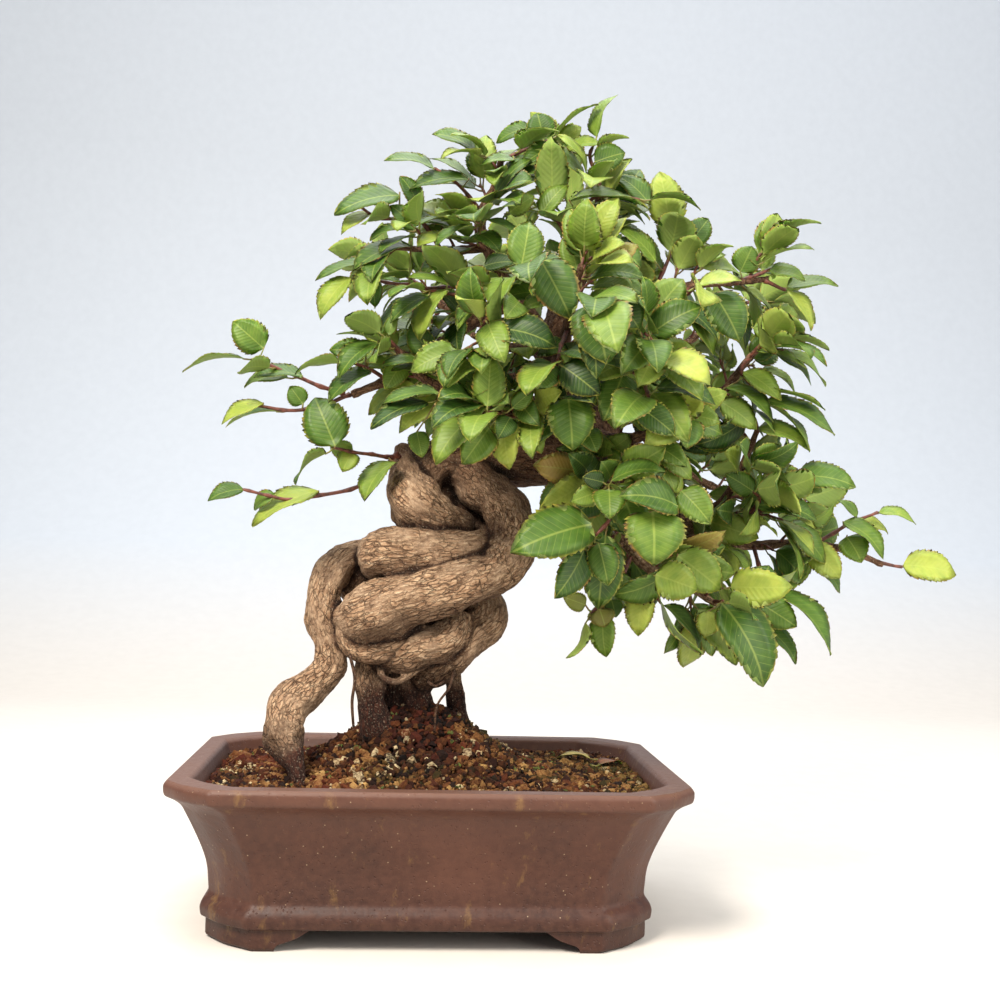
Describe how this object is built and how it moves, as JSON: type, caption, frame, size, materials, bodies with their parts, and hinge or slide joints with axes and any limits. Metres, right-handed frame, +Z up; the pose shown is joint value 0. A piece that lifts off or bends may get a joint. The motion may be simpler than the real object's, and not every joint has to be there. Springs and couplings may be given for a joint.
{
  "type": "korean hornbeam bonsai in a pot",
  "caption": "Potted bonsai tree with a coiled and knotted trunk, an arching root, a leafy leaning crown of toothed leaves, mounded grainy soil and a low rectangular footed stoneware pot.",
  "frame": {"origin": "the middle of the whole object's box, on the surface that the pot's feet stand on", "axes": "+Z up; +X to the right and +Y away as seen from the picture's side, along the pot's long and short sides"},
  "size_m": [0.431, 0.2682, 0.4722],
  "materials": {
    "stoneware": "unglazed fired stoneware, satin",
    "screen": "moulded plastic, matt",
    "soil": "coarse baked clay grains, damp and matt",
    "bark": "flaky furrowed bark, dry and matt",
    "leaf": "living leaf, slightly glossy",
    "young_leaf": "young living leaf, slightly glossy",
    "shed_leaf": "dry shed leaf, matt"
  },
  "bodies": {
    "root": {"drain_mesh_left": "screen", "drain_mesh_right": "screen", "fallen_leaf_brown": "shed_leaf", "fallen_leaf_green": "shed_leaf", "pot": "stoneware", "soil": "soil", "spray_back_1": "leaf", "spray_back_2": "leaf", "spray_back_3": "leaf", "spray_back_4": "leaf", "spray_back_5": "leaf", "spray_back_6": "leaf", "spray_back_7": "leaf", "spray_back_8": "leaf", "spray_back_9": "leaf", "spray_front_1": "leaf", "spray_front_10": "leaf", "spray_front_11": "leaf", "spray_front_12": "leaf", "spray_front_13": "leaf", "spray_front_2": "leaf", "spray_front_3": "leaf", "spray_front_4": "leaf", "spray_front_5": "leaf", "spray_front_6": "leaf", "spray_front_7": "leaf", "spray_front_8": "leaf", "spray_front_9": "leaf", "spray_left_1": "young_leaf", "spray_left_2": "young_leaf", "spray_left_3": "young_leaf", "spray_left_4": "young_leaf", "spray_left_5": "young_leaf", "spray_left_6": "young_leaf", "spray_left_7": "young_leaf", "spray_left_8": "young_leaf", "spray_left_9": "young_leaf", "spray_right_1": "leaf", "spray_right_10": "leaf", "spray_right_11": "leaf", "spray_right_12": "leaf", "spray_right_13": "leaf", "spray_right_14": "leaf", "spray_right_15": "leaf", "spray_right_16": "leaf", "spray_right_17": "leaf", "spray_right_2": "leaf", "spray_right_3": "leaf", "spray_right_4": "leaf", "spray_right_5": "leaf", "spray_right_6": "leaf", "spray_right_7": "leaf", "spray_right_8": "leaf", "spray_right_9": "leaf", "spray_top_1": "young_leaf", "spray_top_2": "young_leaf", "spray_top_3": "young_leaf", "spray_top_4": "young_leaf", "spray_top_5": "young_leaf", "tree": "bark"}
  },
  "joints": []
}
